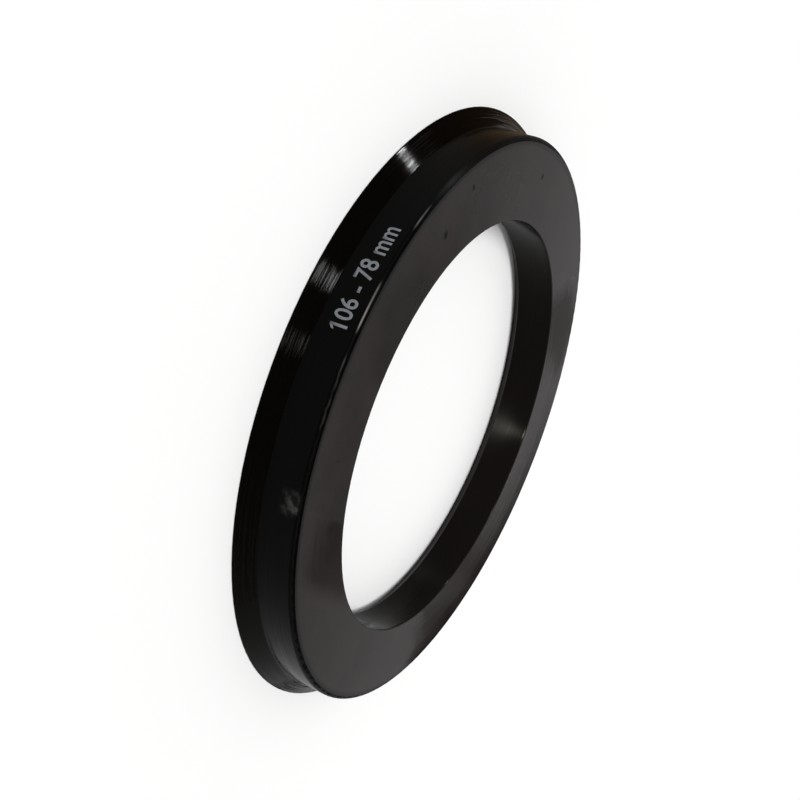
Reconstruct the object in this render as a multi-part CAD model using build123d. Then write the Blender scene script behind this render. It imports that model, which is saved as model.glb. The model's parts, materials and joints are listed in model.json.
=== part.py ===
from build123d import *
import os

# A hub centric ring fills the room between a wheel's centre bore and a smaller hub. The spigot fits the
# wheel, the bore fits the hub, and a tapered lip seats in the chamfer at the back of the wheel.
# The ring lies on its back face in the XY plane, with its axis on +Z and its front face up.

# Driving dimensions, in millimetres
bore_diameter = 78.1
spigot_diameter = 106.1
spigot_length = 6.5  # straight wall, from the front face to the taper
taper_height = 2.5  # along the axis
lip_overhang = 2.75  # how far the lip stands out from the spigot, all round
rim_height = 0.2  # straight edge of the lip, below the taper
back_chamfer = 1.75  # 45 degrees, in the bore's mouth on the hub's side

# Rounding of the section's corners
spigot_edge_radius = 0.8
bore_edge_radius = 0.3
taper_root_radius = 0.2
rim_edge_radius = 0.08

bore_radius = bore_diameter / 2
spigot_radius = spigot_diameter / 2
lip_radius = spigot_radius + lip_overhang
taper_top = rim_height + taper_height
front_face = taper_top + spigot_length


def half_section():
    """Outline of the wall as (radius, height) corners, from the back face outwards, each with its rounding."""
    return [
        ((bore_radius + back_chamfer, 0), 0),
        ((lip_radius, 0), rim_edge_radius),
        ((lip_radius, rim_height), rim_edge_radius),
        ((spigot_radius, taper_top), taper_root_radius),
        ((spigot_radius, front_face), spigot_edge_radius),
        ((bore_radius, front_face), bore_edge_radius),
        ((bore_radius, back_chamfer), 0),
    ]


def hub_ring():
    """The half section turned about the axis."""
    corners, roundings = zip(*half_section())
    with BuildPart() as ring:
        with BuildSketch(Plane.XZ):
            with BuildLine():
                FilletPolyline(*corners, radius=roundings, close=True)
            make_face()
        revolve(axis=Axis.Z)
    return ring.part


os.makedirs("parts", exist_ok=True)
export_step(hub_ring(), "parts/hub_ring.step")
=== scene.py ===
import json
import math

import bmesh
import bpy
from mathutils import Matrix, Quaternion, Vector


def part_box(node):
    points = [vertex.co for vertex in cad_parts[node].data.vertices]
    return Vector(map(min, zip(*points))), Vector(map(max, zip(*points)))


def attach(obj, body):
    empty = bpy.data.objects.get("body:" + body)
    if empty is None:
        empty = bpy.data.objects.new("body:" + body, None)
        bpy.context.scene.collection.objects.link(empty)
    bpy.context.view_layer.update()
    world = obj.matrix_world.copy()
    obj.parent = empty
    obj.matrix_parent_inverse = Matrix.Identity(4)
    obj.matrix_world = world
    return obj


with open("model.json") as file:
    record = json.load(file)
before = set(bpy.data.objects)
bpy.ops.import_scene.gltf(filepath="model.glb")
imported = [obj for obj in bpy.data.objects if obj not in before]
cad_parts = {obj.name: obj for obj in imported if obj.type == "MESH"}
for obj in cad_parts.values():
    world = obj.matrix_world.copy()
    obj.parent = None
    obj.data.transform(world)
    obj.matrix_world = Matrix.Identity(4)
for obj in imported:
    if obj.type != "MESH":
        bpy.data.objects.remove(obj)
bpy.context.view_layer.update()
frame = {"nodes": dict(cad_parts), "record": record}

# Sizes of the ring, in metres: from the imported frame, apart from the rounding of the spigot's front edge
MM = 0.001
mounts = {mount["name"]: mount for mount in frame["record"]["mounts"]}
bore_mount = mounts["hub_bore"]
SPIGOT_RADIUS = mounts["wheel_spigot"]["dims"]["r_mm"] * MM
BORE_RADIUS = bore_mount["dims"]["r_mm"] * MM
CHAMFER = bore_mount["pos_m"][2] - bore_mount["dims"]["length_mm"] / 2 * MM
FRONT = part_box("hub_ring")[1].z
EDGE_ROUNDING = 0.8 * MM

# Spans of radius in which one surface of the ring gives way to the next
BORE_WALL_END = (BORE_RADIUS + 0.01 * MM, BORE_RADIUS + 0.08 * MM)
BESIDE_BORE_END = (BORE_RADIUS + 2.0 * MM, BORE_RADIUS + 4.0 * MM)
OUTSIDE_START = (SPIGOT_RADIUS - 1.5 * EDGE_ROUNDING, SPIGOT_RADIUS - 1.2 * EDGE_ROUNDING)
# Span of radius in which the end faces' colour darkens to the wall's, painted shade that widens the dark band
# at the front edge
FACE_RIM_PAINTED_SHADE_SPAN = (SPIGOT_RADIUS - 1.9 * MM, SPIGOT_RADIUS - 0.9 * MM)
# Heights at which the end faces start and end; a pair is for the outside and for the side of the bore
FRONT_FACE_STARTS = (FRONT - 0.06 * MM, FRONT - 0.25 * MM)
FRONT_FACE_FULL = FRONT - 0.01 * MM
BACK_FACE_FULL = (0.0, CHAMFER - 0.06 * MM)
BACK_FACE_ENDS = (0.03 * MM, CHAMFER)
# Upward part of the normal, as the surface turns from the spigot's wall to the cone
CONE_START = (0.2, 0.5)
WALL_END = (0.2, 0.6)
# Bands on the rounded front edge, as shares of the rounding below the front face: start, full, fading and end
WHOLE_ROUNDING = (1.0, 0.75, 0.06, 0.02)
# Band of the faint wear and the painted glints
WEAR_AND_GLINT_BAND = (0.56, 0.48, 0.32, 0.22)

# Textures of the plastic and the ink: scale, detail and roughness of the noise
FEED_LINES = (1300.0, 1.0, 0.5)
MOTTLE = (160.0, 4.0, 0.55)
CLOUDS = (45.0, 2.0, 0.5)
GRAINS = (800.0, 3.0, 0.6)
INK_GRAINS = (6000.0, 3.0, 0.6)
NOISE_RANGE = (0.3, 0.7)  # the values of a noise that are used, as in the other ranges below
NOISE_CIRCLE = 2 * MM  # radius of the circle in the feed lines' noise that goes once round the axis
LINE_DEPTH = 0.05 * MM
CONE_LINE_DEPTH = 0.16 * MM
WALL_LINE_STRENGTH = 1.0
BORE_LINE_STRENGTH = 0.5
FACE_LINE_STRENGTH = 0.12

# Black plastic
FACE_SHADES = ((0.0112, 0.0087, 0.0080), (0.0182, 0.0142, 0.0132))
FACE_SHADE_RANGE = (0.36, 0.64)
MOTTLE_SHARE = 0.4
WALL_SHADE = (0.0010, 0.0009, 0.0008)
# The bore's and the cone's shades are paler and warmer than the wall's: painted light on the same plastic
BORE_SHADE_PAINTED_LIGHT = (0.0040, 0.0030, 0.0023)
CONE_SHADE_PAINTED_WARM = (0.0015, 0.0012, 0.0008)
PLASTIC_GLOSS = 0.031
PLASTIC_ANISOTROPY = 1.0
PLASTIC_ANISOTROPY_TURN = 0.25
FACE_ROUGHNESS = (0.035, 0.055)
WALL_ROUGHNESS = (0.10, 0.14)
ROUNDING_ROUGHNESS = 0.45
# The bore is rougher at its back, and smoothest where its wall has the long streak of light
BORE_HEIGHTS = (2.0 * MM, 9.0 * MM)
BORE_BACK_ROUGHNESS = 0.34
BORE_FRONT_ROUGHNESS = 0.22
STREAK_ROUGHNESS = 0.13
STREAK_ANGLE = 95.0
STREAK_REACH = 50.0
# The front face drops by CROWN times the square of the distance beyond CROWN_START, in the shading only
CROWN_START = 47.5 * MM
CROWN = 1.2

# Specks, a pale patch, faint wear and painted glints on the ring, with angles round the axis and reaches to
# both sides in degrees
FULL_REACH = 0.3  # share of a reach that is full, before it fades
# Specks on the faces: angle, then radius and length in millimetres
SPECKS = ((-127.0, 45.3, 1.3), (-171.9, 47.4, 1.0), (-137.8, 48.6, 0.8), (-77.0, 45.0, 0.5))
SPECK_WIDTH = 1.1  # degrees for each millimetre of length
SPECK_STRENGTH = 0.9
SPECK_COLOUR = (0.003, 0.003, 0.003)
SPECK_ROUGHNESS = 0.6
# A pale grainy patch on the spigot's wall
PATCH_ANGLE = -70.3
PATCH_REACH = 2.7
PATCH_HEIGHTS = (FRONT - 4.2 * MM, FRONT - EDGE_ROUNDING)
PATCH_RANGE = (0.40, 0.66)
PATCH_STRENGTHS = (0.12, 1.4)
PATCH_COLOUR = (0.030, 0.030, 0.028)
# Painted glints on the front edge, pale spots in place of lamp reflections: angle, reach and strength
EDGE_GLINT_SPOTS = (
    (-121.0, 3.4, 0.16),
    (-105.5, 2.6, 0.22),
    (-101.5, 3.2, 0.34),
    (-92.0, 3.6, 0.09),
    (-86.0, 3.6, 0.07),
)
# Faint wear along the whole front edge; the range, strengths and colour below serve it and the painted glints
EDGE_WEAR_ELSEWHERE = 0.006
EDGE_WEAR_AND_GLINT_RANGE = (0.35, 0.6)
EDGE_WEAR_AND_GLINT_STRENGTHS = (0.45, 1.15)
EDGE_WEAR_AND_GLINT_COLOUR = (0.36, 0.34, 0.32)

# Size marking on the spigot
MARKING = "106 - 78 mm"
MARKING_HEIGHT = 3.0 * MM
MARKING_BASE = FRONT - 1.75 * MM
MARKING_START = math.radians(-98.7)
MARKING_ARC = math.radians(18.5)
MARKING_BOLDNESS = 0.014  # in the font's units
MARKING_CURVE_STEPS = 6
MARKING_SAME_POINT = 1e-5  # in the font's units
MARKING_STRIP = 0.25 * MM  # width of the flat strips that go round the wall
# The slanted stroke of the figure 1, from the foot of the marking's first stroke, in millimetres
ONE_STROKE = ((-0.48, 2.44), (-0.48, 2.02), (0.15, 2.48), (0.15, 2.98))
INK_THICKNESS = 0.02 * MM
INK_SINK = 0.01 * MM
INK_SHADES = ((0.116, 0.123, 0.130), (0.163, 0.172, 0.181))
INK_ROUGHNESS = 0.5
INK_GLOSS = 0.2

# View of the photograph
CAMERA_DISTANCE = 200.73 * MM
CAMERA_ELEVATION = math.radians(20.15)
CAMERA_AIM = Vector((14.75 * MM, -23.86 * MM, FRONT))
CAMERA_ROLL = math.radians(112.61)
CAMERA_LENS = 48.97
CAMERA_SENSOR = 36.0
CAMERA_SHIFT = (0.025, 0.125)
CAMERA_NEAR_END = 0.01

# Floor and room
FLOOR_DROP = 0.05 * MM
FLOOR_RADIUS = 4.0
FLOOR_STEPS = 96
FLOOR_COLOUR = (0.95, 0.95, 0.945)
FLOOR_ROUGHNESS = 0.95
WORLD_COLOUR = (1.0, 1.0, 1.0, 1.0)
WORLD_STRENGTH = 0.5

# Lamps, with azimuths and elevations in degrees
KEY_ENERGY = 2.3
KEY_FROM = (-100.0, 50.0)
KEY_ANGLE = math.radians(25)
LAMP_DISTANCE = 1.5
# Azimuth, elevation, power in watts and size
LAMPS = {
    "lamp_far": (170.7, 33.8, 9.5, 0.09),
    "lamp_high": (-139.8, 57.6, 5.0, 0.15),
    "lamp_top": (-105.4, 63.2, 1.0, 0.14),
}
BORE_LAMP_PLACE = Vector((8.0, -19.0, 13.5)) * MM
BORE_LAMP_AIM = Vector((-4.4, 38.8, 5.0)) * MM
BORE_LAMP_WATTS = 0.055
BORE_LAMP_SIZE = 2.6 * MM
BORE_LAMP_COLOUR = (1.0, 0.94, 0.82)

# Cards behind the ring, which its front face mirrors, each a little in front of the one before
CARD_ROUGHNESS = 0.9
CARD_WHITE = 0.85
BACK_CARD_DISTANCE = 0.6
BACK_CARD_STEP = 1.0 * MM
# The curved top edge of card_foot, from right to left
FOOT_RIGHT = 0.148
FOOT_STEP = 0.036
FOOT_POINTS = 9
FOOT_LOWEST = 0.170
FOOT_CURVE = 1.15
FOOT_PLACES = [FOOT_RIGHT - FOOT_STEP * step for step in range(FOOT_POINTS)]
FOOT_TOP = [(across, FOOT_LOWEST + FOOT_CURVE * across ** 2) for across in FOOT_PLACES]
# Corners across and up, tone, and the margins at the left, the right, below and above that fade to white
NO_MARGINS = (0.0, 0.0, 0.0, 0.0)
BACK_CARDS = {
    "card_low": (
        ((0.0, 0.0), (0.705, 0.0), (0.1415, 0.2085), (0.0, 0.2085)),
        0.08, (0.130, 0.0, 0.0, 0.014)),
    "card_foot": (
        ((-0.140, 0.0), (0.705, 0.0), (0.1766, 0.1955), *FOOT_TOP),
        0.05, (0.240, 0.0, 0.0, 0.0)),
    "card_band": (
        ((0.092, 0.184), (0.106, 0.180), (0.146, 0.198), (0.134, 0.2085)),
        0.36, NO_MARGINS),
    "card_grey": (
        ((-0.058, 0.166), (-0.104, 0.158), (-0.136, 0.184), (-0.100, 0.206)),
        0.36, NO_MARGINS),
    "card_high": (
        ((-0.200, 0.250), (0.100, 0.250), (0.100, 0.3315), (-0.055, 0.3315), (-0.200, 0.2845)),
        0.53, (0.080, 0.0, 0.030, 0.010)),
    "card_mid": (
        ((0.100, 0.255), (0.165, 0.255), (0.165, 0.325), (0.100, 0.325)),
        0.15, (0.0, 0.020, 0.020, 0.030)),
    "card_above": (
        ((-0.600, 0.450), (0.600, 0.450), (0.600, 1.600), (-0.600, 1.600)),
        0.05, (0.150, 0.150, 0.120, 0.0)),
}

# Cards beside, above and under the ring and in its bore, with corners as X, Y and Z
SIDE_CARD = ((-0.272, 0.535, 0.0), (-0.587, 0.125, 0.0), (-0.587, 0.125, 0.600), (-0.272, 0.535, 0.600))
SIDE_CARD_COLOUR = (0.13, 0.075, 0.040)
CEILING = 1.6
UNDER = -FLOOR_DROP / 2  # between the ring's back and the floor
# Corners, colour, the axis along which white turns into the colour, and the places of both ends
FADING_CARDS = {
    "ceiling": (
        ((-3.2, -3.0, CEILING), (2.6, -3.0, CEILING), (2.6, 0.4, CEILING), (-3.2, 2.6, CEILING)),
        (0.11, 0.10, 0.08), "X", 2.6, 0.4),
    "card_top_end": (
        ((-0.050, 0.015, UNDER), (-0.080, 0.015, UNDER), (-0.080, -0.066, UNDER), (-0.020, -0.066, UNDER)),
        (0.15, 0.105, 0.062), "Y", -0.062, -0.018),
    "card_bottom_end": (
        ((0.050, 0.020, UNDER), (0.080, 0.020, UNDER), (0.080, -0.030, UNDER), (0.040, -0.030, UNDER)),
        (0.50, 0.50, 0.50), "Y", -0.026, 0.002),
    "card_bore": (
        ((0.0387, 0.004, 0.0048), (0.0369, 0.012, 0.0045), (0.0325, 0.021, 0.0037),
         (0.014, 0.034, 0.0006), (0.014, 0.004, 0.0006)),
        (0.25, 0.22, 0.20), "X", 0.033, 0.027),
}


class Paint:
    """A material with short names for building its node tree."""

    # Sockets of a mix node, by what it mixes: the first and the second input, and the result
    MIX_SOCKETS = {"FLOAT": (2, 3, 0), "RGBA": (6, 7, 2)}

    def __init__(self, name):
        self.material = bpy.data.materials.new(name)
        self.material.use_nodes = True
        self.tree = self.material.node_tree

    def add(self, kind, **settings):
        node = self.tree.nodes.new(kind)
        for key, value in settings.items():
            setattr(node, key, value)
        return node

    def put(self, value, socket):
        """Give a socket a link, a colour or a number."""
        if isinstance(value, bpy.types.NodeSocket):
            self.tree.links.new(value, socket)
        elif isinstance(value, tuple):
            socket.default_value = (*value, 1.0)
        else:
            socket.default_value = value

    def fill(self, node, **values):
        """Give values to a node's sockets, named with _ for each space."""
        for name, value in values.items():
            self.put(value, node.inputs[name.replace("_", " ")])

    def shade(self, **values):
        self.fill(self.tree.nodes["Principled BSDF"], **values)

    def matt(self, colour, roughness):
        self.shade(Base_Color=colour, Roughness=roughness, Specular_IOR_Level=0.0)

    def coordinates(self):
        return self.add("ShaderNodeTexCoord").outputs

    def split(self, vector):
        node = self.add("ShaderNodeSeparateXYZ")
        self.put(vector, node.inputs[0])
        return node.outputs

    def join(self, *parts):
        node = self.add("ShaderNodeCombineXYZ")
        for part, socket in zip(parts, node.inputs):
            self.put(part, socket)
        return node.outputs[0]

    def math(self, operation, first, second=0.0):
        node = self.add("ShaderNodeMath", operation=operation)
        self.put(first, node.inputs[0])
        self.put(second, node.inputs[1])
        return node.outputs[0]

    def product(self, first, *others):
        for other in others:
            first = self.math("MULTIPLY", first, other)
        return first

    def hypotenuse(self, first, second):
        return self.math("SQRT", self.math("ADD", self.product(first, first), self.product(second, second)))

    def ramp(self, value, span, levels=(0.0, 1.0)):
        """Smooth change from the first level to the second, while a value crosses a span."""
        node = self.add("ShaderNodeMapRange", interpolation_type="SMOOTHSTEP")
        for setting, socket in zip((value, *span, *levels), node.inputs):
            self.put(setting, socket)
        return node.outputs[0]

    def fall(self, value, span):
        return self.ramp(value, span, (1.0, 0.0))

    def noise(self, vector, scale, detail, roughness):
        node = self.add("ShaderNodeTexNoise")
        self.fill(node, Vector=vector, Scale=scale, Detail=detail, Roughness=roughness)
        return node.outputs["Fac"]

    def bump(self, **values):
        node = self.add("ShaderNodeBump")
        self.fill(node, **values)
        return node.outputs[0]

    def between(self, kind, factor, first, second):
        node = self.add("ShaderNodeMix", data_type=kind)
        first_socket, second_socket, result = self.MIX_SOCKETS[kind]
        self.put(factor, node.inputs[0])
        self.put(first, node.inputs[first_socket])
        self.put(second, node.inputs[second_socket])
        return node.outputs[result]

    def blend(self, factor, first, second):
        """A number between two."""
        return self.between("FLOAT", factor, first, second)

    def mix(self, factor, first, second):
        """A colour between two."""
        return self.between("RGBA", factor, first, second)


class BlackPlastic(Paint):
    """Turned, glossy black plastic with feed lines round the axis, paler faces, painted light in the bore and
    on the cone, and a front edge with faint wear and painted glints.
    """

    def __init__(self):
        super().__init__("black_plastic")
        self.find_place()
        self.find_surfaces()
        self.make_textures()
        self.specks = self.find_specks()
        tangent = self.add("ShaderNodeTangent", direction_type="RADIAL", axis="Z")
        self.shade(
            Base_Color=self.colour(),
            Roughness=self.roughness(),
            Normal=self.relief(),
            Tangent=tangent.outputs[0],
            Specular_IOR_Level=PLASTIC_GLOSS,
            Anisotropic=PLASTIC_ANISOTROPY,
            Anisotropic_Rotation=PLASTIC_ANISOTROPY_TURN)

    def find_place(self):
        """Where a point lies on the ring, and how far its surface looks up."""
        coordinates = self.coordinates()
        self.here = coordinates["Object"]
        self.x, self.y, self.height = self.split(self.here)
        self.upward = self.split(coordinates["Normal"])["Z"]
        self.radius = self.hypotenuse(self.x, self.y)
        self.angle = self.product(self.math("ARCTAN2", self.y, self.x), math.degrees(1))

    def find_surfaces(self):
        """Masks for the surfaces of the ring, 1 on the surface and 0 off it."""
        self.in_bore = self.fall(self.radius, BORE_WALL_END)
        self.outside = self.ramp(self.radius, OUTSIDE_START)
        beside_bore = self.fall(self.radius, BESIDE_BORE_END)
        front_start = self.blend(beside_bore, *FRONT_FACE_STARTS)
        front_face = self.ramp(self.height, (front_start, FRONT_FACE_FULL))
        back_full = self.blend(beside_bore, *BACK_FACE_FULL)
        back_end = self.blend(beside_bore, *BACK_FACE_ENDS)
        back_face = self.fall(self.height, (back_full, back_end))
        self.on_face = self.math("MAXIMUM", front_face, back_face)
        self.on_rounding = self.rounding_band(WHOLE_ROUNDING)
        elsewhere = self.math("SUBTRACT", 1.0, self.math("MAXIMUM", self.on_rounding, self.on_face))
        self.on_cone = self.product(self.outside, self.ramp(self.upward, CONE_START), elsewhere)

    def rounding_band(self, shares):
        """A band round the rounded front edge."""
        start, full, fading, end = (FRONT - share * EDGE_ROUNDING for share in shares)
        rise = self.ramp(self.height, (start, full))
        fall = self.fall(self.height, (fading, end))
        return self.product(self.outside, rise, fall)

    def make_textures(self):
        """Feed lines across the ring's section, and three sizes of uneven patches."""
        cosine = self.math("DIVIDE", self.x, self.radius)
        sine = self.math("DIVIDE", self.y, self.radius)
        across = self.math("SUBTRACT", self.radius, self.height)
        turned = self.join(across, self.product(cosine, NOISE_CIRCLE), self.product(sine, NOISE_CIRCLE))
        self.lines = self.noise(turned, *FEED_LINES)
        self.mottle = self.noise(self.here, *MOTTLE)
        self.clouds = self.noise(self.here, *CLOUDS)
        self.grains = self.noise(self.here, *GRAINS)

    def near(self, degrees, reach):
        """Full near an angle round the axis, and fading to nothing at the reach."""
        away = self.math("ABSOLUTE", self.math("SUBTRACT", self.angle, degrees))
        return self.fall(away, (FULL_REACH * reach, reach))

    def find_specks(self):
        """Small dull spots on the faces."""
        specks = 0.0
        for degrees, distance, length in SPECKS:
            along = self.math("DIVIDE", self.math("SUBTRACT", self.radius, distance * MM), length * MM)
            across = self.math("DIVIDE", self.math("SUBTRACT", self.angle, degrees), SPECK_WIDTH * length)
            spot = self.ramp(self.hypotenuse(along, across), (0.0, 1.0), (SPECK_STRENGTH, 0.0))
            specks = self.math("MAXIMUM", specks, self.product(spot, self.on_face))
        return specks

    def pale_patch(self):
        """A grainy patch on the spigot's wall."""
        return self.product(
            self.near(PATCH_ANGLE, PATCH_REACH), self.outside, self.ramp(self.height, PATCH_HEIGHTS),
            self.fall(self.upward, WALL_END), self.ramp(self.grains, PATCH_RANGE, PATCH_STRENGTHS))

    def edge_wear_and_glints(self):
        """Painted glints: pale spots on the front edge in place of lamp reflections, over faint wear along
        the whole edge.
        """
        wear_and_glints = EDGE_WEAR_ELSEWHERE
        for degrees, reach, strength in EDGE_GLINT_SPOTS:
            wear_and_glints = self.math("ADD", wear_and_glints, self.product(self.near(degrees, reach), strength))
        broken = self.ramp(self.mottle, EDGE_WEAR_AND_GLINT_RANGE, EDGE_WEAR_AND_GLINT_STRENGTHS)
        return self.product(wear_and_glints, self.rounding_band(WEAR_AND_GLINT_BAND), broken)

    def colour(self):
        """Dark walls and paler faces, with specks, a pale patch, faint wear and painted glints on the front
        edge, painted shade at the faces' outer rim and painted light in the bore and on the cone.
        """
        uneven = self.blend(MOTTLE_SHARE, self.clouds, self.mottle)
        face = self.mix(self.ramp(uneven, FACE_SHADE_RANGE), *FACE_SHADES)
        # Paler, warmer shades in the bore and on the cone, painted light
        wall = self.mix(self.in_bore, WALL_SHADE, BORE_SHADE_PAINTED_LIGHT)
        wall = self.mix(self.on_cone, wall, CONE_SHADE_PAINTED_WARM)
        # The end faces darken to the wall's colour near the outer rim, painted shade
        face_inside_painted_rim = self.product(self.on_face, self.fall(self.radius, FACE_RIM_PAINTED_SHADE_SPAN))
        colour = self.mix(face_inside_painted_rim, wall, face)
        colour = self.mix(self.pale_patch(), colour, PATCH_COLOUR)
        # Faint wear and painted glints on the front edge
        colour = self.mix(self.edge_wear_and_glints(), colour, EDGE_WEAR_AND_GLINT_COLOUR)
        return self.mix(self.specks, colour, SPECK_COLOUR)

    def roughness(self):
        """Glossy faces, duller walls and a dull rounding."""
        bore_front = self.blend(self.near(STREAK_ANGLE, STREAK_REACH), BORE_FRONT_ROUGHNESS, STREAK_ROUGHNESS)
        bore = self.ramp(self.height, BORE_HEIGHTS, (BORE_BACK_ROUGHNESS, bore_front))
        wall = self.blend(self.in_bore, self.ramp(self.lines, NOISE_RANGE, WALL_ROUGHNESS), bore)
        wall = self.blend(self.on_rounding, wall, ROUNDING_ROUGHNESS)
        face = self.blend(self.specks, self.ramp(self.mottle, NOISE_RANGE, FACE_ROUGHNESS), SPECK_ROUGHNESS)
        return self.blend(self.on_face, wall, face)

    def relief(self):
        """Feed lines, faint on the faces and deep on the cone, over a slightly crowned front face."""
        face_radius = self.math("MINIMUM", self.radius, SPIGOT_RADIUS - EDGE_ROUNDING)
        beyond = self.math("MAXIMUM", self.math("SUBTRACT", face_radius, CROWN_START), 0.0)
        crown = self.bump(Height=self.product(beyond, beyond, -CROWN), Strength=1.0, Distance=1.0)
        depth = self.blend(self.on_cone, LINE_DEPTH, CONE_LINE_DEPTH)
        strength = self.blend(self.in_bore, WALL_LINE_STRENGTH, BORE_LINE_STRENGTH)
        strength = self.blend(self.on_face, strength, FACE_LINE_STRENGTH)
        return self.bump(Height=self.lines, Strength=strength, Distance=depth, Normal=crown)


def pale_ink():
    """Pale grey marking ink, slightly uneven."""
    ink = Paint("pale_ink")
    grains = ink.noise(ink.coordinates()["Object"], *INK_GRAINS)
    colour = ink.mix(ink.ramp(grains, NOISE_RANGE), *INK_SHADES)
    ink.shade(Base_Color=colour, Roughness=INK_ROUGHNESS, Specular_IOR_Level=INK_GLOSS)
    return ink


def add_object(name, data):
    thing = bpy.data.objects.new(name, data)
    bpy.context.scene.collection.objects.link(thing)
    return thing


def painted_mesh(name, mesh, paint):
    mesh.materials.clear()
    mesh.materials.append(paint.material)
    return add_object(name, mesh)


def flat_marking():
    """The marking as a flat mesh, in the font's units, with its reading direction along X."""
    curve = bpy.data.curves.new("marking_text", "FONT")
    curve.body = MARKING
    curve.offset = MARKING_BOLDNESS
    curve.resolution_u = MARKING_CURVE_STEPS
    carrier = add_object("marking_text", curve)
    bpy.context.view_layer.update()
    mesh = bpy.data.meshes.new_from_object(carrier.evaluated_get(bpy.context.evaluated_depsgraph_get()))
    bpy.data.objects.remove(carrier)
    return mesh


def marking():
    """The marking wrapped round the spigot as a thin layer of ink, with its feet towards the front face."""
    mesh = flat_marking()
    shape = bmesh.new()
    shape.from_mesh(mesh)
    bmesh.ops.remove_doubles(shape, verts=shape.verts, dist=MARKING_SAME_POINT)
    across = [point.co.x for point in shape.verts]
    upright = [point.co.y for point in shape.verts]
    left, low = min(across), min(upright)
    length = SPIGOT_RADIUS * MARKING_ARC
    for point in shape.verts:
        point.co.x = (point.co.x - left) / (max(across) - left) * length
        point.co.y = (point.co.y - low) / (max(upright) - low) * MARKING_HEIGHT
    shape.faces.new([shape.verts.new((x * MM, y * MM, 0)) for x, y in ONE_STROKE])
    for step in range(1, int(length / MARKING_STRIP)):
        whole = shape.verts[:] + shape.edges[:] + shape.faces[:]
        bmesh.ops.bisect_plane(shape, geom=whole, plane_co=(step * MARKING_STRIP, 0, 0), plane_no=(1, 0, 0))
    raised = bmesh.ops.extrude_face_region(shape, geom=shape.faces[:])["geom"]
    for point in (item for item in raised if isinstance(item, bmesh.types.BMVert)):
        point.co.z += INK_THICKNESS
    for point in shape.verts:
        angle = MARKING_START - point.co.x / SPIGOT_RADIUS
        radius = SPIGOT_RADIUS - INK_SINK + point.co.z
        point.co = (radius * math.cos(angle), radius * math.sin(angle), MARKING_BASE - point.co.y)
    bmesh.ops.recalc_face_normals(shape, faces=shape.faces[:])
    shape.to_mesh(mesh)
    shape.free()
    mesh.name = "size_marking"
    piece = painted_mesh("size_marking", mesh, pale_ink())
    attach(piece, "root")


def floor():
    """Wide round floor."""
    shape = bmesh.new()
    bmesh.ops.create_circle(shape, cap_ends=True, segments=FLOOR_STEPS, radius=FLOOR_RADIUS)
    mesh = bpy.data.meshes.new("floor")
    shape.to_mesh(mesh)
    shape.free()
    paint = Paint("floor_paint")
    paint.matt(FLOOR_COLOUR, FLOOR_ROUGHNESS)
    piece = painted_mesh("floor", mesh, paint)
    piece.location.z = -FLOOR_DROP


def surround():
    """A white room, which shows at full strength and gives only part of it as light."""
    world = bpy.data.worlds.new("surround")
    bpy.context.scene.world = world
    world.use_nodes = True
    tree = world.node_tree
    path = tree.nodes.new("ShaderNodeLightPath")
    seen = path.outputs["Is Camera Ray"]
    for kind in ("Is Glossy Ray", "Is Transmission Ray"):
        either = tree.nodes.new("ShaderNodeMath")
        either.operation = "MAXIMUM"
        tree.links.new(seen, either.inputs[0])
        tree.links.new(path.outputs[kind], either.inputs[1])
        seen = either.outputs[0]
    strength = tree.nodes.new("ShaderNodeMapRange")
    strength.inputs["To Min"].default_value = WORLD_STRENGTH
    tree.links.new(seen, strength.inputs["Value"])
    background = tree.nodes["Background"]
    background.inputs["Color"].default_value = WORLD_COLOUR
    tree.links.new(strength.outputs[0], background.inputs["Strength"])


def direction(azimuth, elevation):
    """Unit vector towards an azimuth and an elevation in degrees."""
    turn, rise = math.radians(azimuth), math.radians(elevation)
    return Vector((math.cos(turn) * math.cos(rise), math.sin(turn) * math.cos(rise), math.sin(rise)))


def aim(thing, towards):
    thing.rotation_mode = "QUATERNION"
    thing.rotation_quaternion = towards.to_track_quat("-Z", "Y")


def key_light():
    """A soft key from one side, which doesn't show in gloss."""
    light = bpy.data.lights.new("key", "SUN")
    light.energy = KEY_ENERGY
    light.angle = KEY_ANGLE
    sun = add_object("key", light)
    sun.visible_glossy = False
    aim(sun, -direction(*KEY_FROM))


def lamp(name, place, target, watts, size, colour=(1.0, 1.0, 1.0)):
    """A small lamp that shows only as a glint in gloss."""
    light = bpy.data.lights.new(name, "AREA")
    light.shape = "DISK"
    light.size = size
    light.energy = watts
    light.color = colour
    thing = add_object(name, light)
    thing.location = place
    thing.visible_diffuse = False
    thing.visible_camera = False
    aim(thing, target - place)


def card(name, corners, paint):
    """A flat card that shows only in the ring's gloss."""
    mesh = bpy.data.meshes.new(name)
    mesh.from_pydata(corners, [], [range(len(corners))])
    thing = painted_mesh(name, mesh, paint)
    thing.visible_camera = False
    thing.visible_diffuse = False
    thing.visible_shadow = False


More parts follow.
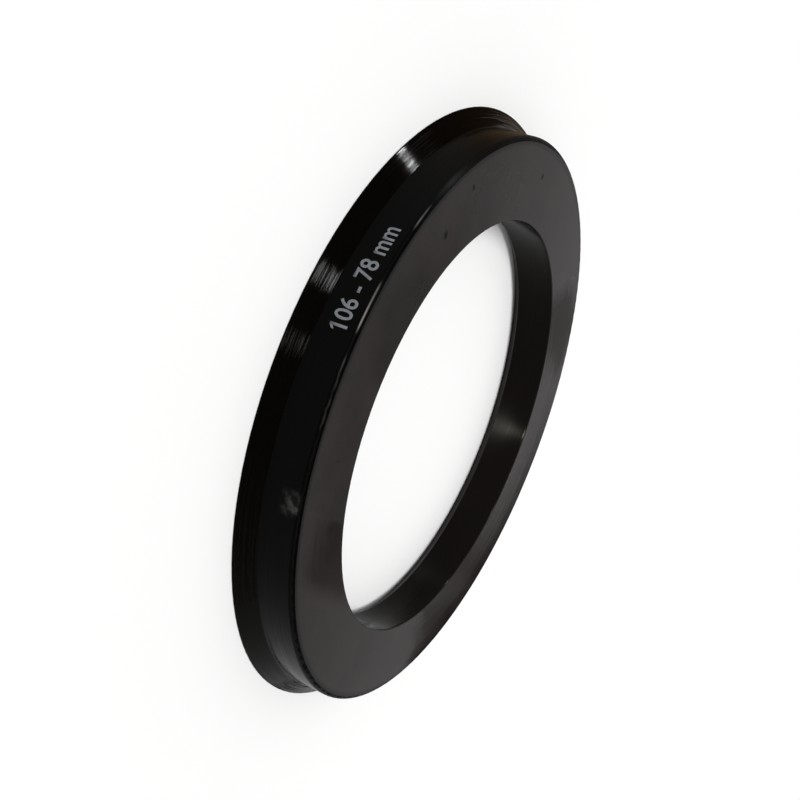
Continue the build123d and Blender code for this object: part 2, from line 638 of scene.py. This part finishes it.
def back_card(name, distance, corners, tone, margins):
    """A card behind the ring, whose tone fades to white in the margins along its sides."""
    paint = Paint(name)
    x, _, z = paint.split(paint.coordinates()["Object"])
    across, up = zip(*corners)
    left, right, below, above = margins
    sides = (
        (x, min(across), left),
        (x, max(across), -right),
        (z, min(up), below),
        (z, max(up), -above),
    )
    share = 1.0
    for place, edge, margin in sides:
        if margin:
            share = paint.product(share, paint.ramp(place, (edge, edge + margin)))
    grey = paint.blend(share, CARD_WHITE, tone)
    paint.matt(paint.join(grey, grey, grey), CARD_ROUGHNESS)
    card(name, [(over, distance, high) for over, high in corners], paint)


def fading_card(name, corners, colour, axis, white_end, coloured_end):
    """A card that fades from the floor's white to its colour along one axis."""
    paint = Paint(name)
    along = paint.split(paint.coordinates()["Object"])[axis]
    fade = paint.ramp(along, (white_end, coloured_end))
    paint.matt(paint.mix(fade, FLOOR_COLOUR, colour), CARD_ROUGHNESS)
    card(name, corners, paint)


def side_card():
    """A plain card beside the ring."""
    paint = Paint("card_side")
    paint.matt(SIDE_CARD_COLOUR, CARD_ROUGHNESS)
    card("card_side", SIDE_CARD, paint)


def studio():
    """Soft light all round, a soft key, small lamps for the glints, and cards for the gloss to mirror."""
    surround()
    key_light()
    for name, (azimuth, elevation, watts, size) in LAMPS.items():
        lamp(name, direction(azimuth, elevation) * LAMP_DISTANCE, Vector(), watts, size)
    lamp("lamp_bore", BORE_LAMP_PLACE, BORE_LAMP_AIM, BORE_LAMP_WATTS, BORE_LAMP_SIZE, BORE_LAMP_COLOUR)
    for order, (name, settings) in enumerate(BACK_CARDS.items()):
        back_card(name, BACK_CARD_DISTANCE - order * BACK_CARD_STEP, *settings)
    side_card()
    for name, settings in FADING_CARDS.items():
        fading_card(name, *settings)


def camera():
    """The photograph's view: from low in front, rolled so that the ring's axis points to the right."""
    data = bpy.data.cameras.new("camera")
    data.lens = CAMERA_LENS
    data.sensor_width = CAMERA_SENSOR
    data.shift_x, data.shift_y = CAMERA_SHIFT
    data.clip_start = CAMERA_NEAR_END
    view = add_object("camera", data)
    back_and_up = Vector((0, -math.cos(CAMERA_ELEVATION), math.sin(CAMERA_ELEVATION)))
    view.location = Vector((0, 0, FRONT)) + CAMERA_DISTANCE * back_and_up
    aim(view, CAMERA_AIM - view.location)
    view.rotation_quaternion = view.rotation_quaternion @ Quaternion((0, 0, 1), CAMERA_ROLL)
    bpy.context.scene.camera = view


ring = frame["nodes"]["hub_ring"]
ring.material_slots[0].material = BlackPlastic().material
marking()
floor()
studio()
camera()
bpy.context.scene.view_settings.view_transform = "Standard"
